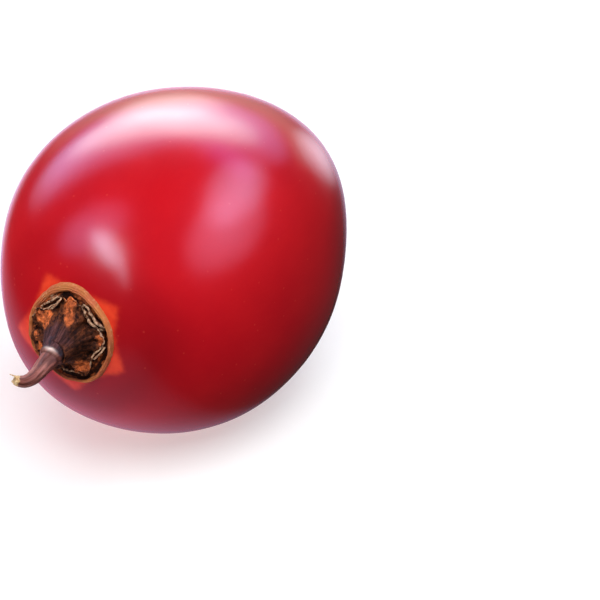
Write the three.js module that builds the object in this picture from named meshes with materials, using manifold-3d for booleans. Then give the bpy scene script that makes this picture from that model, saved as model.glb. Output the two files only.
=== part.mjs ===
// A ripe tamarillo: one whole egg-shaped fruit lying on its side, with its dried calyx and its stalk.
//
// Millimetres, +Z up. The fruit's long axis lies along X: the stalk points to -X, the blossom tip to +X.
// The origin is the middle of the footprint, on the surface that the fruit rests on (z = 0).
// Three pieces: the fruit (skin and flesh grown as one), the calyx (five sepals grown together into
// a ring on the skin, with a flared collar round the stalk) and the stalk, which stands in that collar.

import * as THREE from "three";
import { mergeVertices } from "three/addons/utils/BufferGeometryUtils.js";
import Module from "manifold-3d";

// ---------------------------------------------------------------- driving dimensions

// fruit
const BODY_RADIUS = 25.0; // mean radius of the widest section
const STEM_HALF = 30.49; // widest section to the stem end, before the stem end is flattened
const TIP_HALF = 36.23; // widest section to the blossom tip
const STEM_FULLNESS = 2.102; // 2 is an ellipse; more is a fuller shoulder
const TIP_TAPER = 0.082; // share of the radius lost towards the blossom tip
const STEM_FLAT = 0.8; // how far the stem end is pressed in under the calyx
const STEM_FLAT_RADIUS = 6.5;
const NIPPLE = 0.45; // small point at the blossom tip
const NIPPLE_RADIUS = 1.6;
// The section is softly four-sided: share of the radius added as cos/sin of 2, 3 and 4 times the angle.
const SECTION = [
  [2, -0.0285, 0],
  [3, 0, 0.0058],
  [4, -0.018, 0],
];
const PITCH = 3; // degrees: it lies with its heavier blossom end a little down, its stalk a little up
const REST_FLAT = 0.4; // depth of the flat spot that the fruit rests on

// calyx
const GAP = 0.3; // clearance between neighbouring pieces
const CALYX_RADIUS = 7.1; // mean radius of its rim
const CALYX_LOBES = 5;
const CALYX_LOBE_DEPTH = 0.2; // how far each sepal stands out past the mean rim
const CALYX_LOBE_TURN = -16; // degrees from +Z towards +Y of the first sepal
const CALYX_OFF = [0.3, -0.3]; // its rim lies a little off the fruit's axis, in Y and Z
const CALYX_HOLE = 2.35; // the collar's bore round the stalk
const CALYX_COLLAR = 3.3; // how far the collar reaches up the stalk

// stalk: points of its centreline, seen from the fruit, and its radius along its length
const STALK_PATH = [
  [-30.0, 0, 0],
  [-31.45, 0, -0.15],
  [-32.85, 0, -0.5],
  [-34.75, 0, -1.2],
  [-37.05, 0, -1.95],
  [-38.9, 0, -2.38],
  [-40.2, 0.12, -2.48],
  [-41.0, 0.42, -2.43],
  [-41.5, 0.85, -2.25],
  [-41.9, 1.3, -1.98],
];
const STALK_RADII = [
  // [share of the length, radius]
  [0.0, 1.85],
  [0.016, 2.0],
  [0.11, 2.03],
  [0.22, 2.0],
  [0.29, 1.86],
  [0.355, 1.66],
  [0.41, 1.54], // the joint where the foot meets the thin stalk
  [0.45, 1.3],
  [0.56, 1.2],
  [0.7, 1.1],
  [0.82, 1.0],
  [0.92, 0.88],
  [0.98, 0.8],
  [1.0, 0.7],
];

// mesh steps
const FRUIT_ROUND = 56;
const FRUIT_LONG = 30;
const CALYX_ROUND = 50;
const STALK_ROUND = 20;

// ---------------------------------------------------------------- helpers

const wasm = await Module();
wasm.setup();

// Only positions, with the vertices along the seams and at the poles shared.
function welded(geometry) {
  const g = geometry.clone();
  g.deleteAttribute("normal");
  g.deleteAttribute("uv");
  return mergeVertices(g, 1e-3);
}

function solid(geometry) {
  const g = welded(geometry);
  return new wasm.Manifold(
    new wasm.Mesh({
      numProp: 3,
      vertProperties: g.attributes.position.array,
      triVerts: new Uint32Array(g.index.array),
    }),
  );
}

function geometryOf(manifold) {
  const m = manifold.getMesh();
  const g = new THREE.BufferGeometry()
    .setAttribute("position", new THREE.BufferAttribute(m.vertProperties, 3))
    .setIndex(new THREE.BufferAttribute(m.triVerts, 1));
  g.computeVertexNormals();
  return g;
}

// A turned shape whose axis is X. Each point is [x, radius]; move(x, radius, angle) gives the final
// point, with the angle measured from +Y towards +Z.
function turned(points, steps, move) {
  const lathe = new THREE.LatheGeometry(
    points.map(([x, r]) => new THREE.Vector2(r, x)),
    steps,
  );
  const p = lathe.getAttribute("position");
  for (let i = 0; i < p.count; i++) {
    // the lathe turns round its own Y: that axis becomes X, its Z becomes Y and its X becomes Z
    const x = p.getY(i);
    const r = Math.hypot(p.getX(i), p.getZ(i));
    const angle = Math.atan2(p.getX(i), p.getZ(i));
    const q = move(x, r, angle);
    p.setXYZ(i, q[0], q[1], q[2]);
  }
  return welded(lathe);
}

const smooth = (t) => t * t * (3 - 2 * t);

// ---------------------------------------------------------------- fruit

// How far the softly four-sided section stands out at an angle; it rounds off towards both ends.
function section(angle, s) {
  let k = 0;
  for (const [n, c, d] of SECTION)
    k += c * Math.cos(n * angle) + d * Math.sin(n * angle);
  return 1 + k * (1 - Math.pow(Math.abs(s), 6));
}

// The outline from the stem end (t = 0) to the blossom tip (t = PI), as [x, radius, share].
function outline(t) {
  const c = -Math.cos(t);
  if (c < 0) {
    const r = BODY_RADIUS * Math.sqrt(1 - Math.pow(-c, STEM_FULLNESS));
    const x =
      STEM_HALF * c + STEM_FLAT * Math.exp(-((r / STEM_FLAT_RADIUS) ** 2));
    return [x, r, c];
  }
  const r = BODY_RADIUS * Math.sin(t) * (1 - TIP_TAPER * c * c);
  const x = TIP_HALF * c + NIPPLE * Math.exp(-((r / NIPPLE_RADIUS) ** 2));
  return [x, r, c];
}

// x of the skin at a radius from the axis, on the stem side.
function stemSkin(radius) {
  const s = Math.pow(1 - (radius / BODY_RADIUS) ** 2, 1 / STEM_FULLNESS);
  return (
    -STEM_HALF * s + STEM_FLAT * Math.exp(-((radius / STEM_FLAT_RADIUS) ** 2))
  );
}

function fruitGeometry() {
  const ts = [];
  for (let i = 0; i <= FRUIT_LONG; i++) ts.push((Math.PI * i) / FRUIT_LONG);
  ts.splice(FRUIT_LONG, 0, Math.PI - 0.07, Math.PI - 0.03); // the small point needs two more rings
  ts.sort((a, b) => a - b);
  const rings = ts.map(outline);
  rings[0][1] = 0;
  rings[rings.length - 1][1] = 0;
  const shareAt = new Map(rings.map(([x, , s]) => [Math.fround(x), s]));
  const body = turned(
    rings.map(([x, r]) => [x, r]),
    FRUIT_ROUND,
    (x, r, a) => {
      const k = r * section(a, shareAt.get(Math.fround(x)) ?? 0);
      return [x, k * Math.cos(a), k * Math.sin(a)];
    },
  );
  body.rotateY(THREE.MathUtils.degToRad(PITCH));
  body.computeBoundingBox();
  const low = body.boundingBox.min.z;
  // the flat spot, cut as the fruit lies: everything below a level plane just above its lowest point
  const cutter = new THREE.BoxGeometry(60, 60, 10);
  cutter.translate(0, 0, low + REST_FLAT - 5);
  return geometryOf(solid(body).subtract(solid(cutter)));
}

// ---------------------------------------------------------------- calyx

// How far the stalk's centreline has sunk below the fruit's axis at x.
function stalkSink(x) {
  for (let i = 1; i < STALK_PATH.length; i++) {
    const [x0, , z0] = STALK_PATH[i - 1];
    const [x1, , z1] = STALK_PATH[i];
    if (x <= x0 && x > x1) return z0 + ((z1 - z0) * (x - x0)) / (x1 - x0);
  }
  return 0;
}

function calyxGeometry() {
  const R = CALYX_RADIUS;
  const under = (r) => stemSkin(r) - GAP;
  const over = (r, h) => stemSkin(r) - GAP - h;
  // one closed section: along the skin from the hole to the rim, round the rim, and back over the top
  const ring = [
    [under(CALYX_HOLE), CALYX_HOLE],
    [under(4.8), 4.8],
    [under(6.0), 6.0],
    [under(R - 0.3) + 0.02, R - 0.3],
    [over(R, 0.25), R],
    [over(R - 0.12, 0.62), R - 0.12],
    [over(R - 0.6, 0.92), R - 0.6],
    [over(5.7, 0.95), 5.7],
    [over(5.0, 1.15), 5.0],
    [over(4.3, 1.6), 4.3],
    [over(3.6, 2.1), 3.6],
    [over(3.0, 2.65), 3.0],
    [over(2.62, CALYX_COLLAR - 0.15), 2.62],
    [over(CALYX_HOLE, CALYX_COLLAR), CALYX_HOLE],
  ];
  ring.push(ring[0]);
  const turn = THREE.MathUtils.degToRad(CALYX_LOBE_TURN);
  return turned(ring.reverse(), CALYX_ROUND, (x, r, a) => {
    const fromZ = Math.PI / 2 - a; // angle from +Z towards +Y
    const w = smooth(
      THREE.MathUtils.clamp((r - CALYX_HOLE) / (R - CALYX_HOLE), 0, 1),
    );
    const k =
      r + CALYX_LOBE_DEPTH * w * Math.cos(CALYX_LOBES * (fromZ - turn));
    // the collar leans with the stalk inside it
    const lean = stalkSink(x) * smooth(THREE.MathUtils.clamp((5 - r) / 2, 0, 1));
    const y = k * Math.cos(a) + CALYX_OFF[0] * w;
    const z = k * Math.sin(a) + CALYX_OFF[1] * w;
    // a sepal that reaches further out also lies further back on the rounded shoulder
    return [x + stemSkin(Math.hypot(y, z)) - stemSkin(r), y, z + lean];
  });
}

// ---------------------------------------------------------------- stalk

function stalkGeometry() {
  const path = new THREE.CatmullRomCurve3(
    STALK_PATH.map((p) => new THREE.Vector3(...p)),
    false,
    "centripetal",
  );
  const profile = [[0, 0], ...STALK_RADII, [1.0, 0]];
  // more rings where the stalk bends, so that it curves evenly
  const dense = [];
  for (let i = 0; i < profile.length - 1; i++) {
    const [u0, r0] = profile[i];
    const [u1, r1] = profile[i + 1];
    const n = u1 - u0 > 0.05 ? 2 : 1;
    for (let k = 0; k < n; k++)
      dense.push([u0 + ((u1 - u0) * k) / n, r0 + ((r1 - r0) * k) / n]);
  }
  dense.push(profile[profile.length - 1]);
  const up = new THREE.Vector3(0, 0, 1);
  return turned(dense, STALK_ROUND, (u, r, a) => {
    const at = path.getPointAt(THREE.MathUtils.clamp(u, 0, 1));
    const along = path.getTangentAt(THREE.MathUtils.clamp(u, 0, 1));
    // the foot is square to the fruit's axis, and the stalk turns to follow its own path after it
    along
      .lerp(new THREE.Vector3(-1, 0, 0), 1 - smooth(Math.min(1, u / 0.2)))
      .normalize();
    const side = new THREE.Vector3().crossVectors(up, along).normalize();
    const over = new THREE.Vector3().crossVectors(along, side).normalize();
    return at
      .addScaledVector(side, r * Math.cos(a))
      .addScaledVector(over, r * Math.sin(a))
      .toArray();
  });
}

// ---------------------------------------------------------------- scene graph

const fruitSkin = new THREE.MeshStandardMaterial({
  color: 0xb01520,
  roughness: 0.3,
  metalness: 0,
});
const calyxTissue = new THREE.MeshStandardMaterial({
  color: 0xb9714a,
  roughness: 0.62,
  metalness: 0,
});
const stalkBark = new THREE.MeshStandardMaterial({
  color: 0x7a4a48,
  roughness: 0.6,
  metalness: 0,
});

const fruit = new THREE.Mesh(fruitGeometry(), fruitSkin);
fruit.name = "fruit";
const lying = THREE.MathUtils.degToRad(PITCH);
const calyx = new THREE.Mesh(calyxGeometry().rotateY(lying), calyxTissue);
calyx.name = "calyx";
const stalk = new THREE.Mesh(stalkGeometry().rotateY(lying), stalkBark);
stalk.name = "stalk";

// The pieces share the fruit's own centre; the group then sets the footprint's middle on the origin.
const onAxis = new THREE.Group();
onAxis.add(fruit, calyx, stalk);
onAxis.updateMatrixWorld(true);
const box = new THREE.Box3().setFromObject(onAxis, true);
onAxis.position.set(
  -(box.min.x + box.max.x) / 2,
  -(box.min.y + box.max.y) / 2,
  -box.min.z,
);

const tamarillo = new THREE.Group();
tamarillo.add(onAxis);

export default tamarillo;
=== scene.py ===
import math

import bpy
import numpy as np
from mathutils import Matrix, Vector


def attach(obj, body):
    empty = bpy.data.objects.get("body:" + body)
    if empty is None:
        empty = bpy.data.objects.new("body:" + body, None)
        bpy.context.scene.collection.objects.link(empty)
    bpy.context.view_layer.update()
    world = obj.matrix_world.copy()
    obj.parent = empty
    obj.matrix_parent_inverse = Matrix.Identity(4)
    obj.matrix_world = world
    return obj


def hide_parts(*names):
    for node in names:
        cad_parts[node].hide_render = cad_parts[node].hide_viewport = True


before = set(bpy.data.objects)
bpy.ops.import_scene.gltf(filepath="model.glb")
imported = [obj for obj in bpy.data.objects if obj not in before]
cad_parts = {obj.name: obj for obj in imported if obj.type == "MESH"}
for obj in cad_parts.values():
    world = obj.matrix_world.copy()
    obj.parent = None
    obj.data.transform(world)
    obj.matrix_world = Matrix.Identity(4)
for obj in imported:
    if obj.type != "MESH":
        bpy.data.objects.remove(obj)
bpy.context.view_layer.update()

# A ripe tamarillo lying on its side: the waxy red fruit, its dried calyx and its short bent stalk.
#
# Shapes are worked out in millimetres in the fruit's own frame: the origin on the long axis at the
# widest section, the stalk towards -X, +Z up. to_row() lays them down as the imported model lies.
# Angles round the axis on the stem side are in degrees from +Z towards +Y.

PITCH = math.radians(3.0)
SHIFT = np.array([2.941, 0.0, 25.009])  # the fruit's own origin in the row frame

BODY_RADIUS = 25.0
STEM_HALF = 30.49
TIP_HALF = 36.23
STEM_FULLNESS = 2.102
TIP_TAPER = 0.082
STEM_FLAT = 0.8
STEM_FLAT_RADIUS = 6.5
NIPPLE = 0.45
NIPPLE_RADIUS = 1.6
SECTION = [(2, -0.0285, 0.0), (3, 0.0, 0.0058), (4, -0.018, 0.0)]

TURN = np.array(
    [
        [math.cos(PITCH), 0.0, math.sin(PITCH)],
        [0.0, 1.0, 0.0],
        [-math.sin(PITCH), 0.0, math.cos(PITCH)],
    ]
)


def to_row(p):
    return (np.asarray(p, float) @ TURN.T + SHIFT) / 1000.0


# ---------------------------------------------------------------- numbers


def step(lo, hi, v):
    t = np.clip((np.asarray(v, float) - lo) / (hi - lo), 0.0, 1.0)
    return t * t * (3 - 2 * t)


def _corner(i, j, k, seed):
    h = (i * 374761393 + j * 668265263 + k * 1440662683 + seed * 974634777) & 0xFFFFFFFF
    h = ((h ^ (h >> 13)) * 1274126177) & 0xFFFFFFFF
    h = ((h ^ (h >> 16)) * 2246822519) & 0xFFFFFFFF
    return ((h ^ (h >> 15)) & 0xFFFF) / 32767.5 - 1.0


def lumps(p, wavelength, seed):
    """Smooth noise in -1..1 at points p; the same on every run."""
    q = np.asarray(p, float) / wavelength
    base = np.floor(q)
    f = q - base
    f = f * f * f * (f * (f * 6 - 15) + 10)
    i, j, k = (base[..., n].astype(np.int64) for n in range(3))
    out = 0.0
    for a in (0, 1):
        wa = f[..., 0] if a else 1 - f[..., 0]
        for b in (0, 1):
            wb = f[..., 1] if b else 1 - f[..., 1]
            for c in (0, 1):
                wc = f[..., 2] if c else 1 - f[..., 2]
                out = out + wa * wb * wc * _corner(i + a, j + b, k + c, seed)
    return out


def layered(p, wavelength, seed, octaves=3, gain=0.5):
    out, amp, total = 0.0, 1.0, 0.0
    for n in range(octaves):
        out = out + amp * lumps(p, wavelength / 2**n, seed + 17 * n)
        total += amp
        amp *= gain
    return out / total


def around(table, deg):
    """A smooth closed curve through (angle, value) pairs."""
    a = np.array([p[0] for p in table], float) % 360
    v = np.array([p[1] for p in table], float)
    o = np.argsort(a)
    a, v = a[o], v[o]
    a = np.concatenate([a - 360, a, a + 360])
    v = np.concatenate([v, v, v])
    m = np.gradient(v, a)
    x = np.asarray(deg, float) % 360
    i = np.clip(np.searchsorted(a, x, side="right") - 1, 0, len(a) - 2)
    h = a[i + 1] - a[i]
    s = (x - a[i]) / h
    return (
        (2 * s**3 - 3 * s**2 + 1) * v[i]
        + (s**3 - 2 * s**2 + s) * h * m[i]
        + (-2 * s**3 + 3 * s**2) * v[i + 1]
        + (s**3 - s**2) * h * m[i + 1]
    )


def along(table, u):
    """Values at u of a smooth curve through (u, value) pairs; values may be points."""
    a = np.array([p[0] for p in table], float)
    v = np.array([p[1] for p in table], float)
    m = np.gradient(v, a, axis=0)
    x = np.clip(np.asarray(u, float), a[0], a[-1])
    i = np.clip(np.searchsorted(a, x, side="right") - 1, 0, len(a) - 2)
    h = a[i + 1] - a[i]
    s = (x - a[i]) / h
    if v.ndim > 1:
        s, h = s[:, None], h[:, None]
    return (
        (2 * s**3 - 3 * s**2 + 1) * v[i]
        + (s**3 - 2 * s**2 + s) * h * m[i]
        + (-2 * s**3 + 3 * s**2) * v[i + 1]
        + (s**3 - s**2) * h * m[i + 1]
    )


def angle_gap(deg, centre):
    """Signed difference of angles, -180..180."""
    return (np.asarray(deg, float) - centre + 180) % 360 - 180


# ---------------------------------------------------------------- meshes


def grid_piece(name, pts, marks, material, wrap_rows=False, wrap_cols=True, flip=False, row_metres=False):
    """A mesh from points in rows and columns. A row whose points all meet becomes one vertex."""
    rows, cols = pts.shape[:2]
    first = 0
    index = np.zeros((rows, cols), dtype=np.int64)
    keep = []
    for r in range(rows):
        if cols > 3 and np.ptp(pts[r], axis=0).max() < 1e-6:
            index[r, :] = first
            keep.append((r, [0]))
            first += 1
        else:
            index[r, :] = first + np.arange(cols)
            keep.append((r, list(range(cols))))
            first += cols
    verts = np.concatenate([pts[r][c] for r, c in keep])
    if not row_metres:
        verts = to_row(verts)
    faces = []
    nr = rows if wrap_rows else rows - 1
    nc = cols if wrap_cols else cols - 1
    for r in range(nr):
        a, b = index[r], index[(r + 1) % rows]
        for c in range(nc):
            d = (c + 1) % cols
            quad = [a[c], a[d], b[d], b[c]]
            face = []
            for v in quad:
                if int(v) not in face:
                    face.append(int(v))
            if len(face) > 2:
                faces.append(face[::-1] if flip else face)
    mesh = bpy.data.meshes.new(name)
    mesh.from_pydata(verts.tolist(), [], faces)
    mesh.polygons.foreach_set("use_smooth", [True] * len(mesh.polygons))
    for key, values in marks.items():
        values = np.asarray(values, float)
        if values.ndim == 3:
            flat = np.concatenate([values[r][c] for r, c in keep])
            att = mesh.attributes.new(key, "FLOAT_VECTOR", "POINT")
            att.data.foreach_set("vector", flat.ravel())
        else:
            flat = np.concatenate([values[r][c] for r, c in keep])
            att = mesh.attributes.new(key, "FLOAT", "POINT")
            att.data.foreach_set("value", flat)
    mesh.materials.append(material)
    mesh.update()
    obj = bpy.data.objects.new(name, mesh)
    bpy.context.scene.collection.objects.link(obj)
    return obj


# ---------------------------------------------------------------- material helpers


class Nodes:
    def __init__(self, name):
        self.material = bpy.data.materials.new(name)
        self.material.use_nodes = True
        self.tree = self.material.node_tree
        self.tree.nodes.clear()
        self.out = self.tree.nodes.new("ShaderNodeOutputMaterial")
        self.shader = self.tree.nodes.new("ShaderNodeBsdfPrincipled")
        self.link(self.shader.outputs["BSDF"], self.out.inputs["Surface"])
        self.coords = self.tree.nodes.new("ShaderNodeTexCoord").outputs["Object"]

    def link(self, a, b):
        self.tree.links.new(a, b)

    def _put(self, socket, value):
        if hasattr(value, "is_linked") or isinstance(value, bpy.types.NodeSocket):
            self.link(value, socket)
        else:
            socket.default_value = value

    def mapped(self, scale, source=None, move=(0, 0, 0), turn=(0, 0, 0)):
        m = self.tree.nodes.new("ShaderNodeMapping")
        m.inputs["Scale"].default_value = scale if isinstance(scale, (tuple, list)) else (scale,) * 3
        m.inputs["Location"].default_value = move
        m.inputs["Rotation"].default_value = turn
        self.link(source or self.coords, m.inputs["Vector"])
        return m.outputs["Vector"]

    def noise(self, vector, scale=1.0, detail=3.0, rough=0.55, distort=0.0):
        n = self.tree.nodes.new("ShaderNodeTexNoise")
        n.inputs["Scale"].default_value = scale
        n.inputs["Detail"].default_value = detail
        n.inputs["Roughness"].default_value = rough
        n.inputs["Distortion"].default_value = distort
        self.link(vector, n.inputs["Vector"])
        return n.outputs["Fac"]

    def cells(self, vector, scale=1.0, feature="F1", random=1.0):
        n = self.tree.nodes.new("ShaderNodeTexVoronoi")
        n.feature = feature
        n.inputs["Scale"].default_value = scale
        n.inputs["Randomness"].default_value = random
        self.link(vector, n.inputs["Vector"])
        return n.outputs["Distance"]

    def attr(self, name, vector=False):
        n = self.tree.nodes.new("ShaderNodeAttribute")
        n.attribute_name = name
        return n.outputs["Vector" if vector else "Fac"]

    def ramp(self, value, lo, hi, out_lo=0.0, out_hi=1.0, smooth=True):
        n = self.tree.nodes.new("ShaderNodeMapRange")
        n.interpolation_type = "SMOOTHSTEP" if smooth else "LINEAR"
        n.inputs["From Min"].default_value = lo
        n.inputs["From Max"].default_value = hi
        n.inputs["To Min"].default_value = out_lo
        n.inputs["To Max"].default_value = out_hi
        self.link(value, n.inputs["Value"])
        return n.outputs["Result"]

    def math(self, how, a, b=0.0):
        n = self.tree.nodes.new("ShaderNodeMath")
        n.operation = how
        self._put(n.inputs[0], a)
        self._put(n.inputs[1], b)
        return n.outputs[0]

    def mix(self, fac, a, b, how="MIX"):
        n = self.tree.nodes.new("ShaderNodeMix")
        n.data_type = "RGBA"
        n.blend_type = how
        n.clamp_factor = True
        self._put(n.inputs[0], fac)
        for socket, value in ((n.inputs[6], a), (n.inputs[7], b)):
            if isinstance(value, (tuple, list)):
                socket.default_value = (*value, 1.0)
            else:
                self.link(value, socket)
        return n.outputs[2]

    def bump(self, height, distance, strength=1.0, normal=None):
        n = self.tree.nodes.new("ShaderNodeBump")
        n.inputs["Strength"].default_value = strength
        n.inputs["Distance"].default_value = distance
        self.link(height, n.inputs["Height"])
        if normal is not None:
            self.link(normal, n.inputs["Normal"])
        return n.outputs["Normal"]

    def set(self, **values):
        for key, value in values.items():
            self._put(self.shader.inputs[key.replace("_", " ")], value)


MM = 1000.0  # object coordinates are metres; the textures are sized in millimetres

# ---------------------------------------------------------------- fruit skin


def skin_material():
    n = Nodes("fruit_skin")
    mm = n.mapped(MM)
    broad = n.noise(mm, 0.055, 2.0, 0.5)
    patch = n.noise(n.mapped((0.10 * MM, 0.22 * MM, 0.22 * MM)), 1.0, 3.0, 0.55)
    streak = n.noise(n.mapped((0.09 * MM, 0.9 * MM, 0.9 * MM)), 1.0, 4.0, 0.6, 0.4)
    fine = n.noise(mm, 2.6, 3.0, 0.6)

    red = n.mix(n.ramp(broad, 0.35, 0.65), (0.455, 0.0038, 0.0095), (0.520, 0.0060, 0.0112))
    red = n.mix(n.ramp(patch, 0.35, 0.80, 0.0, 0.22), red, (0.400, 0.0030, 0.0095))
    red = n.mix(n.ramp(streak, 0.45, 0.75, 0.0, 0.12), red, (0.560, 0.0120, 0.0115))
    red = n.mix(n.ramp(fine, 0.35, 0.75, 0.0, 0.08), red, (0.340, 0.0022, 0.0080))
    # painted shade: the skin is drawn darker round the stalk, most below it, and lighter away from it
    red = n.mix(n.attr("painted_shade_near_stalk"), n.mix(1.0, red, (1.12, 1.15, 1.15), "MULTIPLY"), n.mix(1.0, red, (0.63, 0.74, 0.76), "MULTIPLY"))
    # tiny pale pores, sparse and faint
    pore = n.cells(n.mapped(MM), 0.42)
    pore = n.ramp(pore, 0.045, 0.085, 1.0, 0.0)
    red = n.mix(n.math("MULTIPLY", pore, 0.20), red, (0.78, 0.10, 0.06))

    star = n.attr("star")
    wobble = n.noise(mm, 0.9, 2.0, 0.5)
    star = n.ramp(n.math("ADD", star, n.ramp(wobble, 0.3, 0.7, -0.10, 0.10, False)), 0.05, 0.98)
    orange = n.mix(n.ramp(n.noise(mm, 0.5, 3.0), 0.35, 0.7), (0.800, 0.060, 0.022), (0.690, 0.034, 0.016))
    colour = n.mix(star, red, orange)
    scar = n.attr("tip_scar")
    colour = n.mix(scar, colour, (0.055, 0.020, 0.012))

    rough = n.ramp(n.noise(mm, 0.30, 4.0, 0.6), 0.3, 0.7, 0.205, 0.245, False)
    rough = n.math("ADD", rough, n.math("MULTIPLY", scar, 0.3))
    height = n.math("ADD", n.math("MULTIPLY", n.noise(mm, 1.1, 3.0, 0.6), 0.7), n.math("MULTIPLY", fine, 0.12))
    n.set(
        Base_Color=colour,
        Roughness=rough,
        Normal=n.bump(height, 0.000022, 0.5),
        IOR=1.45,
    )
    return n.material


def outline(t):
    c = -np.cos(t)
    stem = c < 0
    cs = np.where(stem, -c, 0.0)
    r = np.where(
        stem,
        BODY_RADIUS * np.sqrt(np.clip(1 - cs**STEM_FULLNESS, 0, None)),
        BODY_RADIUS * np.sin(t) * (1 - TIP_TAPER * c * c),
    )
    x = np.where(
        stem,
        STEM_HALF * c + STEM_FLAT * np.exp(-((r / STEM_FLAT_RADIUS) ** 2)),
        TIP_HALF * c + NIPPLE * np.exp(-((r / NIPPLE_RADIUS) ** 2)),
    )
    return x, r, c


def section(a, s):
    k = 0.0
    for m, c, d in SECTION:
        k = k + c * np.cos(m * a) + d * np.sin(m * a)
    return 1 + k * (1 - np.abs(s) ** 6)


def stem_skin(r):
    r = np.minimum(r, 24.0)
    return -STEM_HALF * (1 - (r / BODY_RADIUS) ** 2) ** (1 / STEM_FULLNESS) + STEM_FLAT * np.exp(
        -((r / STEM_FLAT_RADIUS) ** 2)
    )


# where the pale star round the calyx reaches furthest: angle, radius, and how far the side from
# there to the next point bows in
STAR = [(28.9, 9.05, 1.05), (101.9, 10.9, 0.15), (173.3, 10.1, 0.95), (236.5, 9.2, 0.85), (304.0, 8.75, 0.1)]


def star_mark(y, z):
    rho = np.hypot(y, z)
    deg = np.degrees(np.arctan2(y, z)) % 360
    tips = [(a, r * math.sin(math.radians(a)), r * math.cos(math.radians(a)), bow) for a, r, bow in STAR]
    edge = np.zeros_like(rho)
    for i in range(5):
        a0, y0, z0, bow = tips[i]
        a1, y1, z1, _ = tips[(i + 1) % 5]
        if a1 < a0:
            a1 += 360
        d = np.where(deg < a0, deg + 360, deg)
        inside = (d >= a0) & (d <= a1)
        # distance inside the straight side from tip to tip, bowed in a little
        ny, nz = z1 - z0, -(y1 - y0)
        length = math.hypot(ny, nz)
        ny, nz = ny / length, nz / length
        if ny * y0 + nz * z0 < 0:
            ny, nz = -ny, -nz
        share = (d - a0) / (a1 - a0)
        gap = (y0 - y) * ny + (z0 - z) * nz - bow * np.sin(np.pi * np.clip(share, 0, 1))
        edge = np.where(inside, gap, edge)
    reach = around([(a, r) for a, r, _ in STAR], deg)
    return step(-0.95, 1.15, edge) * step(0.90, -0.95, rho - reach)


def fruit_piece():
    rows, cols = 200, 272
    w = np.linspace(0, 1, rows + 1)
    t = np.pi * (w - 0.5 * np.sin(2 * np.pi * w) / (2 * np.pi))
    x, r, c = outline(t)
    r[0] = r[-1] = 0.0
    a = 2 * np.pi * np.arange(cols) / cols
    k = r[:, None] * section(a[None, :], c[:, None])
    y, z = k * np.cos(a), k * np.sin(a)
    p = np.stack([np.broadcast_to(x[:, None], y.shape), y, z], -1)
    n = p / np.array([34.0, 25.0, 25.0]) ** 2
    n /= np.linalg.norm(n, axis=-1, keepdims=True)
    rho = np.hypot(y, z)
    calm = np.where(p[..., 0] < 0, step(8.0, 15.0, rho), step(1.5, 6.0, rho))
    off = calm * (0.10 * lumps(p, 16.0, 3) + 0.035 * lumps(p, 6.5, 5))
    p = p + n * off[..., None]
    q = to_row(p) * 1000
    # the flat spot that it rests on, rounded where the skin leaves the floor
    h = q[..., 2]
    q[..., 2] = 0.5 * (h + np.sqrt(h * h + 0.10**2))
    stem = p[..., 0] < -15
    star = np.where(stem, star_mark(y, z), 0.0)
    scar = np.where(p[..., 0] > 30, 1 - step(0.45, 0.75, rho + 0.12 * lumps(p, 0.5, 9)), 0.0)
    # painted shade round the stalk, strongest below it
    stalk_shade = 1 - step(11.0, 17.0, rho + 0.8 * lumps(p, 9.0, 7))
    stalk_shade = np.where(p[..., 0] < 0, stalk_shade * (0.66 + 0.34 * np.cos(np.arctan2(y, z) - math.radians(200))), 0.0)
    return grid_piece(
        "fruit_skin",
        q / 1000,
        {"star": star, "tip_scar": scar, "painted_shade_near_stalk": stalk_shade},
        skin_material(),
        row_metres=True,
        flip=True,
    )


# ---------------------------------------------------------------- calyx

RIM = [
    (88, 7.10), (67, 6.85), (46, 6.73), (28, 6.95), (11.5, 7.16), (-9.8, 7.13), (-35.6, 6.52), (-52, 6.38),
    (-68, 6.38), (-89.4, 6.38), (-118.1, 6.60), (-149.3, 7.32), (-170.5, 7.70), (171.4, 7.68), (155.2, 7.55),
    (138, 7.65), (125.8, 7.75), (111.7, 7.42),
]  # fmt: skip
INNER = [
    (7, 6.10), (-17.7, 5.95), (-41.6, 5.60), (-69.2, 5.84), (-95.7, 5.84), (-132.6, 6.25), (-155.6, 6.78),
    (-175, 7.18), (160, 7.05), (140, 7.05), (123.6, 7.10), (105, 6.7), (76, 6.12), (57, 5.95), (38.1, 5.75), (22, 5.9),
]  # fmt: skip
MARGIN = [
    (-4, 5.75), (3, 4.95), (9, 5.25), (20, 4.95), (27, 4.80), (36, 4.80), (45, 5.20), (60, 5.75), (76, 5.90),
    (86, 5.35), (95, 5.95), (112, 6.45), (121, 6.15), (130, 6.55), (140, 6.5), (155, 6.3), (171, 5.85), (-176, 5.75),
    (-160, 6.10), (-150, 5.95), (-141, 5.15), (-129, 4.60), (-117, 4.60), (-110, 5.00), (-94, 5.72), (-79, 6.05),
    (-70, 5.50), (-60, 4.90), (-45, 4.85), (-31, 5.30), (-18, 5.75), (-10, 5.90),
]  # fmt: skip
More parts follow.
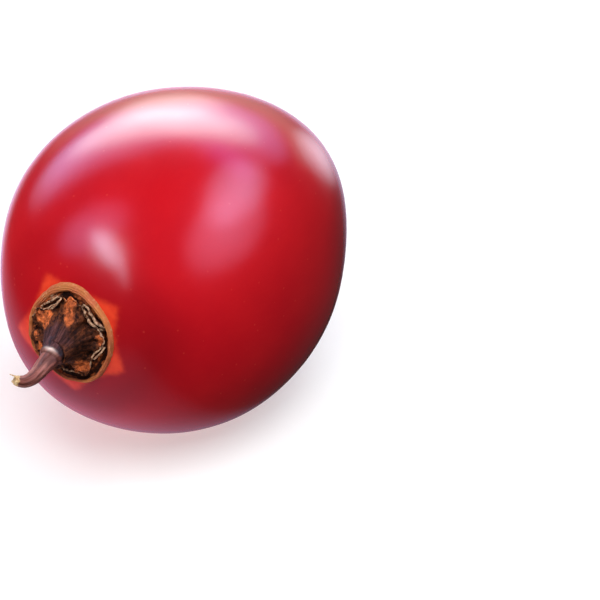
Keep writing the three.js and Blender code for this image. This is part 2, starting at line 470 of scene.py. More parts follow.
# orange-brown places on the sepals, and the darkest hollows, sunk and painted with shade: angle, radius, size,
# strength
BLADES = [
    (-7, 4.90, 1.25, 1.0), (-20, 3.35, 0.65, 1.0), (-60, 3.2, 0.35, 0.5), (170, 3.6, 0.6, 0.7), (60, 3.45, 0.60, 0.9), (64, 4.8, 1.10, 0.95), (43, 4.0, 0.75, 0.9), (52, 3.35, 0.5, 0.8),
    (-48, 3.75, 0.35, 0.8), (-87, 5.1, 0.80, 0.95), (-150, 4.7, 1.15, 1.0), (-166, 4.9, 0.55, 0.7),
    (99, 5.4, 0.6, 0.65), (120, 5.2, 1.0, 0.85), (150, 4.6, 0.8, 0.6), (-172, 5.4, 0.5, 0.6),
]  # fmt: skip
DARKS = [
    (-118, 4.05, 0.55, 1.0), (-33, 4.75, 0.50, 0.9), (-53, 4.1, 0.55, 0.8), (12, 4.6, 0.40, 0.9), (22, 3.8, 0.40, 0.6),
    (-75, 3.5, 1.0, 0.85), (-100, 3.6, 1.0, 0.95), (-125, 3.3, 0.9, 0.9), (88, 5.1, 0.40, 0.9), (-56, 3.1, 0.7, 0.6),
    (30, 5.0, 0.35, 0.5), (176, 5.1, 0.6, 0.6), (5, 5.55, 0.60, 1.0), (11, 5.1, 0.40, 0.9),
    (-164, 6.0, 0.6, 1.0), (178, 6.1, 0.5, 0.9), (-172, 5.9, 0.5, 0.9),
]  # fmt: skip
# hollows painted near black with shade: angle, radius, size, strength
HOLLOWS = [
    (5, 5.55, 0.60, 1.0), (11, 5.1, 0.40, 0.95), (-33, 4.75, 0.42, 0.9), (88, 5.1, 0.40, 0.95), (120, 6.3, 0.40, 1.0),
    (-118, 4.6, 0.36, 0.95), (-134, 5.4, 0.40, 0.95), (-164, 6.0, 0.60, 1.0), (178, 6.1, 0.50, 0.95), (-172, 5.9, 0.5, 0.95),
]  # fmt: skip
HOLES = [(6, 13), (86, 6), (120, 9), (-116, 9), (-141, 10), (-171, 20)]  # gaps inside the ring, painted dark with shade: angle, spread
PALE = [(28, 20, 1.0), (-52, 26, 1.0), (-80, 10, 0.9), (-108, 18, 1.0), (-138, 8, 0.7), (176, 16, 0.6), (66, 12, 0.4)]
SEPALS = [-8.0, 57.0, 125.0, 203.0, 270.0]  # middles of the five dried sepals
CREASES = [24.0, 91.0, 165.0, 238.0, 312.0]  # between them


def on_stem(rho, deg, h):
    """A point at a radius and angle, h above the skin."""
    a = np.radians(deg)
    return np.stack([stem_skin(rho) - h, rho * np.sin(a), rho * np.cos(a)], -1)


def blobs(table, rho, deg):
    """0..1 round each (angle, radius, size, strength)."""
    y, z = rho * np.sin(np.radians(deg)), rho * np.cos(np.radians(deg))
    out = np.zeros_like(y)
    for a, r, size, strength in table:
        d2 = (y - r * math.sin(math.radians(a))) ** 2 + (z - r * math.cos(math.radians(a))) ** 2
        out = 1 - (1 - out) * (1 - strength * np.exp(-d2 / size**2))
    return out


def fan(table, deg):
    """0..1 round each (angle, spread[, strength])."""
    out = np.zeros_like(np.asarray(deg, float))
    for row in table:
        strength = row[2] if len(row) > 2 else 1.0
        out = np.maximum(out, strength * np.exp(-((angle_gap(deg, row[0]) / row[1]) ** 2)))
    return out


def calyx_material():
    n = Nodes("dried_calyx")
    mm = n.mapped(MM)
    band = n.attr("band")  # 1 on the tan ring
    pale = n.attr("pale")  # dry cream edges, and painted highlights on the ring's lit places
    hollow_shade = n.attr("hollow_shade")  # painted shade in hollows, creases and gaps, over the dark inner tissue
    blade = n.attr("blade")  # orange-brown sepal blades
    foot = n.attr("foot")  # purple-brown, where the calyx runs up the stalk
    flow = n.attr("flow", True)  # stretched along the fibres

    lines = n.noise(flow, 1.0, 4.0, 0.6, 0.3)
    grain = n.noise(mm, 2.2, 5.0, 0.62)
    blot = n.noise(mm, 0.85, 4.0, 0.6, 0.6)

    tan = n.mix(n.ramp(lines, 0.36, 0.66), (0.350, 0.102, 0.036), (0.590, 0.190, 0.070))
    broad = n.noise(mm, 0.33, 2.0, 0.5)
    tan = n.mix(n.ramp(broad, 0.42, 0.58, 0.0, 0.55), tan, (0.500, 0.195, 0.058))
    tan = n.mix(n.ramp(broad, 0.50, 0.36, 0.0, 0.50), tan, (0.560, 0.140, 0.072))
    tan = n.mix(n.ramp(blot, 0.42, 0.72, 0.0, 0.65), tan, (0.560, 0.145, 0.048))
    tan = n.mix(n.ramp(grain, 0.50, 0.72, 0.0, 0.40), tan, (0.700, 0.330, 0.165))
    dark = n.mix(n.ramp(grain, 0.35, 0.70), (0.014, 0.005, 0.003), (0.190, 0.055, 0.022))
    orange = n.mix(n.ramp(blot, 0.35, 0.65), (0.380, 0.085, 0.025), (0.820, 0.200, 0.058))
    orange = n.mix(n.ramp(grain, 0.46, 0.64, 0.0, 0.80), orange, (0.085, 0.024, 0.012))
    plum = n.mix(n.ramp(lines, 0.38, 0.64), (0.018, 0.007, 0.006), (0.125, 0.045, 0.040))
    plum = n.mix(n.ramp(grain, 0.50, 0.66, 0.0, 0.65), plum, (0.022, 0.009, 0.006))

    blade_in = n.ramp(n.math("ADD", blade, n.ramp(blot, 0.3, 0.7, -0.28, 0.28, False)), 0.32, 0.62)
    inner = n.mix(blade_in, dark, orange)
    inner = n.mix(n.ramp(n.math("ADD", foot, n.ramp(blot, 0.3, 0.7, -0.2, 0.2, False)), 0.30, 0.80), inner, plum)
    colour = n.mix(band, inner, tan)
    cream = n.mix(n.ramp(grain, 0.32, 0.80), (0.330, 0.150, 0.088), (0.760, 0.530, 0.345))
    pale_in = n.ramp(n.math("ADD", pale, n.ramp(grain, 0.35, 0.65, -0.24, 0.15, False)), 0.35, 0.80)
    colour = n.mix(pale_in, colour, cream)
    veil = n.math("MULTIPLY", n.ramp(blot, 0.35, 0.72, 1.0, 0.72), n.ramp(lines, 0.42, 0.62, 1.0, 0.55))
    # painted shade: hollows, creases and gaps are drawn near black
    hollow_shade_fac = n.math("MAXIMUM", n.math("MULTIPLY", hollow_shade, veil), n.ramp(hollow_shade, 0.86, 0.97, 0.0, 0.97))
    colour = n.mix(hollow_shade_fac, colour, (0.010, 0.0038, 0.0024))

    rough = n.ramp(grain, 0.3, 0.7, 0.50, 0.75, False)
    rough = n.math("ADD", rough, n.math("MULTIPLY", foot, -0.14))
    height = n.math("ADD", n.math("MULTIPLY", lines, 0.75), n.math("MULTIPLY", grain, 0.40))
    n.set(
        Base_Color=colour,
        Roughness=rough,
        Normal=n.bump(height, 0.00018, 0.9),
        IOR=1.45,
        Specular_IOR_Level=0.10,
    )
    return n.material


def calyx_ring(material):
    cols = 420
    deg = 360.0 * np.arange(cols) / cols
    outer = around(RIM, deg)
    inner = around(INNER, deg)
    width = outer - inner
    circle = np.stack([7 * np.sin(np.radians(deg)), 7 * np.cos(np.radians(deg)), 0 * deg], -1)
    outer = outer + 0.07 * lumps(circle, 2.3, 11) + 0.05 * lumps(circle, 0.8, 12)
    thick = 1 + 0.25 * lumps(circle, 3.5, 13) + 0.18 * lumps(circle, 1.2, 14)
    # across the ring: share of its width from the rim, and height over the skin
    profile = [
        (0.05, -0.15), (0.0, 0.0), (-0.025, 0.14), (-0.01, 0.30), (0.04, 0.44), (0.11, 0.55), (0.20, 0.64),
        (0.30, 0.70), (0.40, 0.74), (0.50, 0.75), (0.60, 0.73), (0.70, 0.68), (0.79, 0.62), (0.88, 0.55),
        (0.96, 0.47), (1.05, 0.40), (1.16, 0.34), (1.30, 0.28), (1.50, 0.22), (1.80, 0.16),
    ]  # fmt: skip
    s = np.array([p[0] for p in profile])
    h = np.array([p[1] for p in profile])
    fine = np.linspace(0, len(s) - 1, 60)
    s, h = np.interp(fine, range(len(s)), s), np.interp(fine, range(len(h)), h)
    # round off the straight pieces
    for _ in range(2):
        s[1:-1] = (s[:-2] + 2 * s[1:-1] + s[2:]) / 4
        h[1:-1] = (h[:-2] + 2 * h[1:-1] + h[2:]) / 4
    rows, marks = [], {"band": [], "pale": [], "hollow_shade": [], "blade": [], "foot": [], "flow": []}

    def mark(band, pale, hollow_shade, blade, foot, across, turned):
        for key, v in zip(("band", "pale", "hollow_shade", "blade", "foot"), (band, pale, hollow_shade, blade, foot)):
            marks[key].append(np.broadcast_to(np.asarray(v, float), (cols,)))
        rad = np.radians(deg)
        marks["flow"].append(np.stack([5.0 * across + 0 * deg, 3.2 * np.sin(rad), 3.2 * np.cos(rad)], -1))

    hole = fan(HOLES, deg)
    # painted highlight on the ring's lit places
    sunny = fan([(37, 20, 0.46), (-165, 16, 0.30), (-22, 10, 0.28)], deg)
    # painted shade: the inside of the ring is darker on its right
    right = fan([(-95, 30), (-135, 22, 0.7), (-60, 15, 0.6)], deg)
    wedge = fan([(27, 12, 0.62)], deg)
    for si, hi in zip(s, h):
        ridge = np.sin(2 * np.pi * (3.6 * si + 0.8 * lumps(circle, 3.0, 15)))
        crumple = 0.16 * lumps(circle * (1 + si), 0.9, 16) * step(0.9, 1.2, si)
        lift = np.clip(hi, 0, None) * thick + 0.045 * ridge * np.clip(hi / 0.5, 0, 1) * (si > 0.02) + crumple
        lift = np.where(hi < 0, hi, np.maximum(lift, 0.03))
        lift = lift * (1 - 0.85 * hole * step(0.92, 1.15, si))
        rho = outer - si * width
        rows.append(on_stem(rho, deg, lift))
        lip = step(0.10, 0.0, si)
        inside = step(0.90, 1.10, si)
        mark(
            1 - inside,
            0.42 * lip + sunny * step(0.06, 0.16, si) * step(0.98, 0.80, si) + wedge * step(0.84, 0.98, si) * step(1.62, 1.40, si),
            np.clip(1.15 * hole * step(0.84, 1.02, si) + 0.85 * step(1.30, 1.65, si) * (1 - 0.42 * right) + 0.62 * right * step(0.62, 0.90, si), 0, 1),
            0.75 * inside,
            0.0,
            si * 1.1,
            deg,
        )
    # the floor inside, painted dark with shade, and the underside sunk in the skin
    for share, hh, d in ((0.86, 0.08, 0.95), (0.6, 0.12, 0.95), (0.35, 0.2, 0.95)):
        rows.append(on_stem((outer - 1.8 * width) * share, deg, hh + 0 * deg))
        mark(0.0, 0.0, d * (1 - 0.34 * right), 0.45 * right, 0.0, 1.2, deg)
    for share in (0.35, 0.62, 0.88):
        rows.append(on_stem((outer - 1.2 * width) * share, deg, -0.15 + 0 * deg))
        mark(0.0, 0.0, 1.0, 0.0, 0.0, 1.2, deg)
    pts = np.stack(rows)
    return grid_piece(
        "calyx_ring", pts, {k: np.stack(v) for k, v in marks.items()}, material, wrap_rows=True
    )


SHEET_OUT = [(0, 0), (0.1, 0.09), (0.22, 0.20), (0.36, 0.35), (0.5, 0.52), (0.65, 0.68), (0.8, 0.84), (1, 1)]
SHEET_UP = [(0, 4.75), (0.1, 3.9), (0.22, 3.0), (0.36, 2.15), (0.5, 1.5), (0.65, 1.12), (0.8, 0.92), (1, 0.86)]


def sheet_height(u, rho, deg):
    """The inner part of the calyx: up round the stalk in the middle, crumpled towards its margin."""
    cone = along(SHEET_UP, u.ravel()).reshape(u.shape)
    lobe = fan([(a, 17.0) for a in SEPALS], deg)
    crease = 0.0
    for a, depth in zip(CREASES, (1.0, 0.7, 0.8, 1.15, 1.0)):
        crease = crease + depth * np.exp(-((angle_gap(deg, a) / 7.5) ** 2))
    mid = step(0.25, 0.60, u)
    y, z = rho * np.sin(np.radians(deg)), rho * np.cos(np.radians(deg))
    p = np.stack([y, z, 0 * rho], -1)
    polar = np.stack([rho * 0.55, np.sin(np.radians(deg)) * 5, np.cos(np.radians(deg)) * 5], -1)
    folds = 0.34 * layered(polar, 1.4, 31, 3, 0.6) + 0.22 * layered(p, 0.8, 37, 3, 0.6)
    # sharp dry creases
    folds = folds + 0.26 * (0.55 - 1.9 * np.abs(lumps(polar, 1.05, 33))) + 0.15 * (0.5 - 1.9 * np.abs(lumps(p, 0.75, 35)))
    # fine ridges that run up into the stalk
    ribs = np.stack([rho * 0.15, np.sin(np.radians(deg)) * 2.6, np.cos(np.radians(deg)) * 2.6], -1)
    climb = 0.22 * layered(ribs, 0.75, 39, 2, 0.5) * step(0.02, 0.2, u) * step(0.8, 0.4, u)
    h = cone + mid * (0.24 * lobe - 0.50 * crease + folds - 0.35 * blobs(DARKS, rho, deg)) + climb
    return np.clip(h, 0.14, None), mid * folds + 1.3 * climb


def calyx_sheet(material):
    cols, rows = 460, 66
    deg = 360.0 * np.arange(cols) / cols
    circle = np.stack([5 * np.sin(np.radians(deg)), 5 * np.cos(np.radians(deg)), 0 * deg], -1)
    rim = around(MARGIN, deg) + 0.20 * lumps(circle, 0.9, 21) + 0.14 * lumps(circle, 0.4, 22)
    start = 1.80 + 0.05 * lumps(circle, 1.5, 23)
    u = np.linspace(0, 1, rows)[:, None]
    out = along(SHEET_OUT, u.ravel())[:, None]
    rho = start + (rim - start) * out
    u = np.broadcast_to(u, rho.shape)
    degs = np.broadcast_to(deg, rho.shape)
    h, relief = sheet_height(u, rho, degs)
    # the margin rolls up and back
    roll = step(0.84, 1.0, u)
    amount = 0.5 + 0.5 * layered(np.broadcast_to(circle, rho.shape + (3,)), 1.6, 25, 2)
    amount = amount * (0.35 + 0.65 * fan(PALE, degs))
    h = h + roll * (0.05 + 0.85 * amount)
    rho = rho - roll**2 * 0.25 * amount
    pts = on_stem(rho, degs, h)
    # lean with the stalk in the middle
    lean = step(4.2, 2.0, rho)
    sink = np.interp(-pts[..., 0], [30.0, 31.45, 32.85, 34.75], [0.0, 0.15, 0.5, 1.2])
    pts[..., 2] -= lean * sink
    shade = np.exp(-((angle_gap(degs, -95) / 60.0) ** 2)) * step(0.75, 0.35, u)
    blade = blobs(BLADES, rho, degs)
    crease = 0.0
    for a, depth in zip(CREASES, (0.8, 0.6, 0.6, 0.9, 0.8)):
        crease = crease + depth * np.exp(-((angle_gap(degs, a) / 6.0) ** 2)) * step(0.40, 0.65, u)
    foot = step(0.46, 0.10, u) * (1 - 0.6 * shade)
    pale = step(0.89, 0.98, u) * (0.30 + 0.70 * fan(PALE, degs))
    # painted shade: creases, the shaded side, the dark hollows and the low folds are drawn dark
    hollow_shade = np.clip(0.8 * crease * (1 - pale) + 0.62 * shade * step(0.03, 0.3, u) + blobs(DARKS, rho, degs), 0, 1)
    hollow_shade = np.clip(hollow_shade + 0.8 * step(-0.02, -0.34, relief) * (1 - 0.5 * blade), 0, 1)
    hollow_shade = np.maximum(np.minimum(hollow_shade, 0.82), blobs(HOLLOWS, rho, degs)) * (1 - 0.9 * step(0.88, 0.95, u))
    rad = np.radians(degs)
    flow = np.stack([rho * 0.5, np.sin(rad) * 7.0, np.cos(rad) * 7.0], -1)
    obj = grid_piece(
        "calyx_sepals",
        pts,
        {
            "band": 0 * rho,
            "pale": pale,
            "hollow_shade": hollow_shade,
            "blade": blade,
            "foot": foot,
            "flow": flow,
        },
        material,
    )
    solid = obj.modifiers.new("thickness", "SOLIDIFY")
    solid.thickness = 0.00016
    solid.offset = 0.0
    return obj


def curl(name, path, material, seed):
    """A rolled-up strip of margin: a trough with thin pale edges. path: angle, radius, height, width, wall."""
    table = [(i, p) for i, p in enumerate(path)]
    s = np.linspace(0, len(path) - 1, 70)
    deg, rho, h, wide, wall = along(table, s).T
    centre = on_stem(rho, deg, h)
    tangent = np.gradient(centre, axis=0)
    tangent /= np.linalg.norm(tangent, axis=1, keepdims=True)
    up = np.array([-1.0, 0.0, 0.0])
    side = np.cross(tangent, up)
    side /= np.linalg.norm(side, axis=1, keepdims=True)
    v = np.linspace(-1, 1, 25)
    end = step(0, 5, s * 10) * step(0, 5, (s[-1] - s) * 10)
    wave = 0.30 * np.stack([lumps(np.stack([s * 1.3, v0 + 0 * s, 0 * s], -1), 0.8, seed) for v0 in (-3, 3)])
    pts = np.zeros((len(s), len(v), 3))
    for j, vv in enumerate(v):
        k = abs(vv)
        edge = wave[0] if vv < 0 else wave[1]
        lift = (wall * (k**2.0) + edge * k**3 * 0.8) * (0.4 + 0.6 * end)
        out = vv * wide / 2 * (1.0 - 0.18 * k**4) * (0.35 + 0.65 * end)
        pts[:, j] = centre + side * out[:, None] + up * lift[:, None]
    kk = np.broadcast_to(np.abs(v), (len(s), len(v)))
    patchy = lumps(np.stack([s * 1.2, 0 * s, 0 * s], -1), 0.7, seed + 3)
    marks = {
        "band": 0 * kk,
        "pale": step(0.55, 0.86, kk) * (0.62 + 0.38 * end[:, None]) * (0.80 + 0.38 * patchy)[:, None],
        # painted shade inside the trough
        "hollow_shade": step(0.62, 0.12, kk) * 0.72 * end[:, None],
        "blade": 0.22 * step(0.3, 0.7, kk),
        "foot": 0 * kk,
        "flow": np.stack([kk * 3.0, pts[..., 1], pts[..., 2]], -1),
    }
    obj = grid_piece(name, pts, marks, material, wrap_cols=False)
    solid = obj.modifiers.new("thickness", "SOLIDIFY")
    solid.thickness = 0.00024
    solid.offset = 0.0
    return obj


# ---------------------------------------------------------------- stalk

STALK_PATH = [
    (-30.0, 0, 0), (-31.45, 0, -0.15), (-32.85, 0, -0.5), (-34.75, 0, -1.2), (-37.05, 0, -1.95),
    (-38.9, 0, -2.38), (-40.2, 0.12, -2.48), (-41.0, 0.42, -2.43), (-41.5, 0.85, -2.25), (-41.9, 1.3, -1.98),
]  # fmt: skip
STALK_RADII = [
    (0.0, 1.85), (0.016, 2.0), (0.11, 2.03), (0.22, 2.0), (0.29, 1.86), (0.355, 1.66), (0.41, 1.54), (0.43, 1.42),
    (0.45, 1.27), (0.56, 1.12), (0.7, 0.98), (0.82, 0.87), (0.92, 0.74), (0.98, 0.65), (1.0, 0.57),
]  # fmt: skip


def stalk_material():
    n = Nodes("stalk_bark")
    mm = n.mapped(MM)
    fibre = n.attr("fibre", True)
    pale = n.attr("pale")
    hollow_shade = n.attr("hollow_shade")
    joint_highlight = n.attr("joint_highlight")
    strands = n.noise(n.mapped((2.6, 2.6, 0.35), fibre), 1.0, 5.0, 0.62, 0.5)
    wide = n.noise(n.mapped((1.2, 1.2, 0.22), fibre), 1.0, 3.0, 0.55, 0.3)
    grain = n.noise(mm, 3.2, 4.0, 0.6)

    groove_and_underside_shade = n.attr("groove_and_underside_shade")
    colour = n.mix(n.ramp(strands, 0.34, 0.66), (0.105, 0.026, 0.018), (0.370, 0.125, 0.095))
    colour = n.mix(n.ramp(wide, 0.42, 0.66, 0.0, 0.70), colour, (0.560, 0.245, 0.200))
    colour = n.mix(n.ramp(grain, 0.52, 0.72, 0.0, 0.55), colour, (0.200, 0.058, 0.026))
    # painted shade in the grooves, the joint's crease and along the underside
    colour = n.mix(n.math("MULTIPLY", groove_and_underside_shade, 0.75), colour, (0.060, 0.018, 0.013))
    colour = n.mix(n.attr("foot"), colour, n.mix(n.ramp(strands, 0.38, 0.64), (0.018, 0.007, 0.006), (0.125, 0.045, 0.040)))
    # painted highlight on top of the joint
    colour = n.mix(n.math("MULTIPLY", joint_highlight, 0.92), colour, (0.900, 0.720, 0.660))
    cream = n.mix(n.ramp(grain, 0.4, 0.65), (0.560, 0.330, 0.140), (0.860, 0.690, 0.420))
    colour = n.mix(n.ramp(n.math("ADD", pale, n.ramp(strands, 0.3, 0.7, -0.3, 0.3, False)), 0.4, 0.7), colour, cream)
    # painted shade in the hollow of the torn end
    colour = n.mix(hollow_shade, colour, (0.020, 0.010, 0.007))

    rough = n.ramp(strands, 0.3, 0.7, 0.38, 0.62, False)
    height = n.math("ADD", n.math("MULTIPLY", strands, 0.9), n.math("MULTIPLY", grain, 0.25))
    n.set(Base_Color=colour, Roughness=rough, Normal=n.bump(height, 0.00022, 1.0), IOR=1.45, Specular_IOR_Level=0.2)
    return n.material


def stalk_piece(material):
    path = np.array(STALK_PATH, float)
    chord = np.concatenate([[0], np.cumsum(np.linalg.norm(np.diff(path, axis=0), axis=1))])
    dense = along(list(zip(chord, path.tolist())), np.linspace(0, chord[-1], 800))
    run = np.concatenate([[0], np.cumsum(np.linalg.norm(np.diff(dense, axis=0), axis=1))])
    length = run[-1]
    cols = 96
    a = 2 * np.pi * np.arange(cols) / cols
    us = np.linspace(0, 1, 230)
    rings, marks = [], {"fibre": [], "pale": [], "hollow_shade": [], "joint_highlight": [], "groove_and_underside_shade": [], "foot": []}
    up = np.array([0.0, 0.0, 1.0])

    def ring(u, r, back=0.0, pale=0.0, hollow_shade=0.0, jag=0.0):
        at = np.array([np.interp(u * length, run, dense[:, i]) for i in range(3)])
        ahead = np.array([np.interp(min(u + 0.01, 1) * length, run, dense[:, i]) for i in range(3)])
        behind = np.array([np.interp(max(u - 0.01, 0) * length, run, dense[:, i]) for i in range(3)])
        t = ahead - behind
        t /= np.linalg.norm(t)
        w = float(step(0, 0.2, u))
        t = t * w + np.array([-1.0, 0, 0]) * (1 - w)
        t /= np.linalg.norm(t)
        side = np.cross(up, t)
        side /= np.linalg.norm(side)
        over = np.cross(t, side)
        s_mm = u * length
        turn = a + 0.05 * s_mm + 0.25 * math.sin(0.55 * s_mm)
        c = np.stack([np.cos(turn), np.sin(turn), 0 * a + s_mm * 0.11], -1)
        strand = 1 - 2.2 * np.abs(lumps(c, 0.62, 41)) + 0.5 * lumps(c, 0.3, 42)
        ridges = 0.075 * strand + 0.035 * lumps(c * [1, 1, 7], 0.5, 43)
        rr = r * (1 + ridges)
        p = at + side * (rr * np.cos(a))[:, None] + over * (rr * np.sin(a))[:, None]
        p = p + t * (jag - back)[:, None] if np.ndim(jag) else p - t * back
        rings.append(p)
        marks["fibre"].append(np.stack([np.cos(turn), np.sin(turn), 0 * a + s_mm], -1))
        marks["pale"].append(np.broadcast_to(np.asarray(pale, float), a.shape))
        marks["hollow_shade"].append(np.broadcast_to(np.asarray(hollow_shade, float), a.shape))
        # painted highlight on the upper side of the joint
        joint_highlight = math.exp(-(((u - 0.405) / 0.019) ** 2))
        marks["joint_highlight"].append(joint_highlight * np.exp(-((angle_gap(np.degrees(a), 80) / 27) ** 2)))
        # painted shade along the underside of the stalk
        underside_shade = np.exp(-((angle_gap(np.degrees(a), -80) / 75) ** 2))
        crease = 0.9 * math.exp(-(((u - 0.445) / 0.013) ** 2))
        marks["groove_and_underside_shade"].append(np.clip(step(0.35, -0.65, strand) * step(0.40, 0.46, u) + crease + 0.75 * underside_shade, 0, 1))
        marks["foot"].append(np.broadcast_to(step(0.43, 0.39, u), a.shape))

    ring(0.0, np.zeros(cols))
    for u in us:
        r = np.interp(u, [p[0] for p in STALK_RADII], [p[1] for p in STALK_RADII])
        # the scarred joint: a low ridge, then a narrow groove
        r = r + 0.05 * math.exp(-(((u - 0.405) / 0.018) ** 2)) - 0.06 * math.exp(-(((u - 0.445) / 0.014) ** 2))
        ring(u, r * np.ones(cols), pale=float(step(0.93, 0.985, u)))
    circle = np.stack([np.cos(a), np.sin(a), 0 * a], -1)
    jag = 0.16 * lumps(circle, 0.7, 47) + 0.10 * lumps(circle, 0.3, 48)
    # one torn splinter stands out on the upper side
    jag = jag + 0.95 * np.exp(-((angle_gap(np.degrees(a), 105) / 27) ** 2))
    ring(1.0, 0.57 * np.ones(cols), 0.0, 1.0, 0.0, jag + 0.10)
    ring(1.0, 0.46 * np.ones(cols), 0.0, 1.0, 0.0, jag + 0.04)
    # the torn end's hollow, painted dark with shade
    ring(1.0, 0.39 * np.ones(cols), 0.25, 0.3, 0.75, jag * 0.5)
    ring(1.0, 0.26 * np.ones(cols), 0.60, 0.0, 1.0, jag * 0.0)
    ring(1.0, np.zeros(cols), 0.70, 0.0, 1.0, jag * 0.0)
    return grid_piece("stalk_bark", np.stack(rings), {k: np.stack(v) for k, v in marks.items()}, material, flip=True)


# ---------------------------------------------------------------- pieces

fruit = fruit_piece()
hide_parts("fruit")
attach(fruit, "root")

dried = calyx_material()
ring = calyx_ring(dried)
sepals = calyx_sheet(dried)
curls = [
    curl(
        "calyx_curl_1",
        [(-26, 5.50, 0.85, 0.50, 0.35), (-34, 5.45, 0.80, 0.90, 0.60), (-43, 5.20, 0.75, 1.05, 0.72),
         (-52, 5.05, 0.72, 1.10, 0.75), (-60, 5.20, 0.72, 1.05, 0.70), (-67, 5.60, 0.70, 0.85, 0.60),
         (-74, 5.95, 0.62, 0.45, 0.35)],
        dried, 51,
    ),
    curl(
        "calyx_curl_2",
        [(52, 5.30, 0.70, 0.45, 0.30), (46, 5.10, 0.70, 0.85, 0.55), (38, 4.95, 0.70, 1.10, 0.62),
         (28, 4.85, 0.70, 1.15, 0.65), (18, 5.15, 0.70, 0.95, 0.60), (10, 5.60, 0.65, 0.50, 0.35)],
        dried, 53,
    ),
    curl(
        "calyx_curl_3",
        [(-95, 5.65, 0.80, 0.35, 0.25), (-103, 5.30, 0.80, 0.60, 0.42), (-112, 4.95, 0.80, 0.70, 0.50),
         (-121, 4.70, 0.78, 0.65, 0.45), (-131, 4.65, 0.75, 0.35, 0.30)],
        dried, 57,
    ),
]  # fmt: skip
for piece in (ring, sepals, *curls):
    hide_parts("calyx")
    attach(piece, "root")

stalk = stalk_piece(stalk_material())
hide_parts("stalk")
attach(stalk, "root")

# ---------------------------------------------------------------- stage: floor, light, camera

AIM = Vector(to_row([0.0, 0.0, 0.0]))


def direction(az, el):
    """az from -X towards -Y, el up, in degrees, in the fruit's own frame."""
    a, e = math.radians(az), math.radians(el)
    d = np.array([-math.cos(a) * math.cos(e), -math.sin(a) * math.cos(e), math.sin(e)])
    return Vector(TURN @ d)


def lamp(name, az, el, wide, high, radiance, roll=0.0, dist=3.0, soft=True, diffuse=False, glossy=True):
    """A flat softbox that faces the fruit; wide and high are half angles in degrees, radiance is R, G, B.
    A soft one is brightest in its middle and fades to nothing at its elliptical edge."""
    light = bpy.data.lights.new(name, "AREA")
    light.shape = "RECTANGLE"
    light.size = 2 * dist * math.tan(math.radians(wide))
    light.size_y = 2 * dist * math.tan(math.radians(high))
    peak = max(radiance)
    light.energy = peak * math.pi * light.size * light.size_y
    light.color = [c / peak for c in radiance]
    if soft:
        light.use_nodes = True
        tree = light.node_tree
        tree.nodes.clear()
        out = tree.nodes.new("ShaderNodeOutputLight")
        glow = tree.nodes.new("ShaderNodeEmission")
        place = tree.nodes.new("ShaderNodeNewGeometry")
        centred = tree.nodes.new("ShaderNodeVectorMath")
        centred.operation = "MULTIPLY_ADD"
        centred.inputs[1].default_value = (2, 2, 0)
        centred.inputs[2].default_value = (-1, -1, 0)
        square = tree.nodes.new("ShaderNodeVectorMath")
        square.operation = "DOT_PRODUCT"
        fade = tree.nodes.new("ShaderNodeMath")
        fade.operation = "SUBTRACT"
        fade.use_clamp = True
        fade.inputs[0].default_value = 1.0
        tree.links.new(place.outputs["Parametric"], centred.inputs[0])
        tree.links.new(centred.outputs["Vector"], square.inputs[0])
        tree.links.new(centred.outputs["Vector"], square.inputs[1])
        tree.links.new(square.outputs["Value"], fade.inputs[1])
        tree.links.new(fade.outputs["Value"], glow.inputs["Strength"])
        tree.links.new(glow.outputs["Emission"], out.inputs["Surface"])
    obj = bpy.data.objects.new(name, light)
    d = direction(az, el)
    obj.location = AIM + d * dist
    turn = d.to_track_quat("Z", "Y").to_matrix().to_4x4() @ Matrix.Rotation(math.radians(roll), 4, "Z")
    obj.rotation_mode = "QUATERNION"
    obj.rotation_quaternion = turn.to_quaternion()
    obj.visible_camera = False
    obj.visible_diffuse = diffuse
    obj.visible_glossy = glossy
    if not glossy:
        # sampled from the surface alone, or the skin would still mirror it faintly
        light.cycles.use_multiple_importance_sampling = False
    bpy.context.scene.collection.objects.link(obj)
    return obj


def floor_piece():
    n = Nodes("floor_paper")
    mm = n.mapped(MM)
    soft = n.noise(mm, 0.02, 2.0)
    n.set(
        Base_Color=n.mix(n.ramp(soft, 0.3, 0.7), (0.48, 0.478, 0.475), (0.51, 0.508, 0.505)),
        Roughness=0.85,
        Emission_Color=(1.0, 1.0, 1.0, 1.0),
        Emission_Strength=0.50,
        Normal=n.bump(n.noise(mm, 0.8, 3.0), 0.00002, 0.3),
    )
    mesh = bpy.data.meshes.new("floor")
    s = 3.0
    mesh.from_pydata([(-s, -s, 0), (s, -s, 0), (s, s, 0), (-s, s, 0)], [], [(0, 1, 2, 3)])
    mesh.materials.append(n.material)
    obj = bpy.data.objects.new("floor", mesh)
    obj.location = (0, 0, -0.00002)
    bpy.context.scene.collection.objects.link(obj)
    return obj


floor = floor_piece()
# The floor is a dimly lit pale table. The lamps under it stand for the light that a wide pale floor sends back up
floor.visible_diffuse = False
floor.visible_glossy = False
floor.visible_shadow = False

# light for the colours
lamp("key", 38, 57, 20, 20, (8.6, 8.5, 8.4), soft=False, diffuse=True, glossy=False)
lamp("bounce", -80, -40, 24, 24, (5.4, 5.3, 5.3), soft=False, diffuse=True, glossy=False)
lamp("rim", -120, -3, 18, 18, (6.8, 6.6, 6.8), soft=False, diffuse=True, glossy=False)
lamp("low", 5, -30, 20, 20, (1.5, 1.5, 1.5), soft=False, diffuse=True, glossy=False)
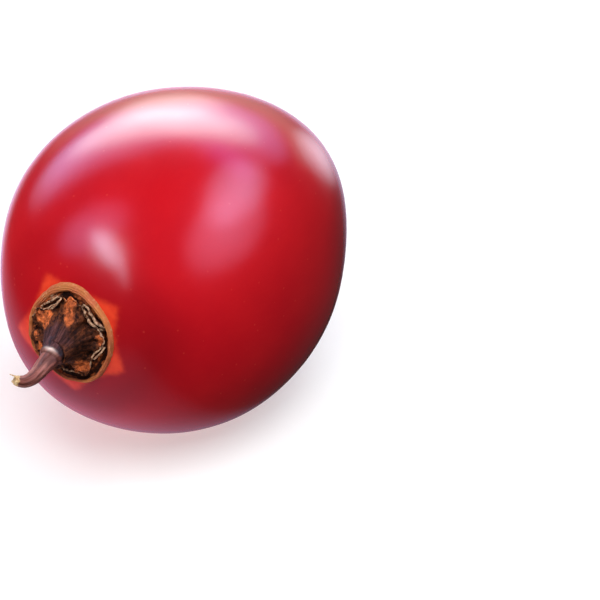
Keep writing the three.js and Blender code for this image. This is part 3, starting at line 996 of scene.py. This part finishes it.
# what the waxy skin mirrors: large soft boxes behind, to the right and to the left
lamp("back_core", -150.6, 43.2, 35.6, 16.4, (5.8, 7.8, 6.8), roll=-2.0)
lamp("back_top", -148.8, 28.6, 15.6, 16.0, (3.2, 3.7, 3.1))
lamp("back_halo", -146.8, 44.0, 53.5, 26.4, (2.2, 2.24, 4.8), roll=4.5)
lamp("back_low", -158.2, 13.2, 40.1, 13.3, (0.45, 0.75, 0.6), roll=1.7)
lamp("back_end", -106.7, 30.2, 23.4, 16.5, (1.1, 1.7, 2.85), roll=-35.0)
lamp("back_floor", -147, -12.6, 29, 17.2, (1.4, 1.25, 1.8))
lamp("back_right", 178.2, 0.2, 15.4, 9.4, (2.4, 2.4, 2.85), roll=-44.1)
lamp("mid_right", 151.1, 52.4, 22.5, 9.8, (1.5, 1.0, 3.9), roll=29.6)
lamp("right_high", 114.4, 45.2, 29.3, 20.1, (3.2, 4.97, 8.3), roll=0.2)
lamp("right_low", 88.7, 29.5, 33.1, 27.4, (2.6, 2.75, 4.66), roll=12.2)
lamp("left_core", -12.0, 36.7, 18.8, 8.9, (10.9, 16.5, 20.8), roll=-35.1)
lamp("left_tail", 4.8, 25.8, 17.5, 5.5, (5.5, 6.3, 8.2), roll=-65.0)
lamp("left_halo", -34.4, 43.3, 17.7, 26.5, (2.5, 2.13, 4.4), roll=-26.2)
lamp("floor_glow", -83.1, -62.6, 68, 43.4, (0.35, 0.39, 0.59), roll=-17.8)

# a dim room, with a pale wall behind for the camera
world = bpy.data.worlds.new("studio")
bpy.context.scene.world = world
world.use_nodes = True
tree = world.node_tree
tree.nodes.clear()
room = tree.nodes.new("ShaderNodeBackground")
room.inputs["Color"].default_value = (0.9, 0.93, 1.0, 1)
room.inputs["Strength"].default_value = 0.05
wall = tree.nodes.new("ShaderNodeBackground")
wall.inputs["Color"].default_value = (0.97, 0.97, 0.975, 1)
wall.inputs["Strength"].default_value = 1.0
seen = tree.nodes.new("ShaderNodeMixShader")
path = tree.nodes.new("ShaderNodeLightPath")
out = tree.nodes.new("ShaderNodeOutputWorld")
tree.links.new(path.outputs["Is Camera Ray"], seen.inputs[0])
tree.links.new(room.outputs[0], seen.inputs[1])
tree.links.new(wall.outputs[0], seen.inputs[2])
tree.links.new(seen.outputs[0], out.inputs["Surface"])

# camera: 20 degrees across the square frame, looking down on the stalk end from its left
camera_data = bpy.data.cameras.new("camera")
camera_data.sensor_width = 36.0
camera_data.lens = 18.0 / math.tan(math.radians(10.0))
camera_data.clip_start, camera_data.clip_end = 0.01, 20.0
camera = bpy.data.objects.new("camera", camera_data)
right = TURN @ np.array([0.42767342, -0.90393332, 0.0])
up = TURN @ np.array([0.36708621, 0.17367765, 0.91382919])
ahead = TURN @ np.array([0.82604065, 0.39082046, -0.40609877])
place = to_row([-207.96203734, -119.07413781, 99.18349186])
camera.matrix_world = Matrix(
    [
        [right[0], up[0], -ahead[0], place[0]],
        [right[1], up[1], -ahead[1], place[1]],
        [right[2], up[2], -ahead[2], place[2]],
        [0, 0, 0, 1],
    ]
)
bpy.context.scene.collection.objects.link(camera)
bpy.context.scene.camera = camera

scene = bpy.context.scene
scene.view_settings.view_transform = "Standard"
scene.view_settings.look = "None"
scene.view_settings.exposure = 0.0
scene.view_settings.gamma = 1.0

bpy.context.view_layer.update()
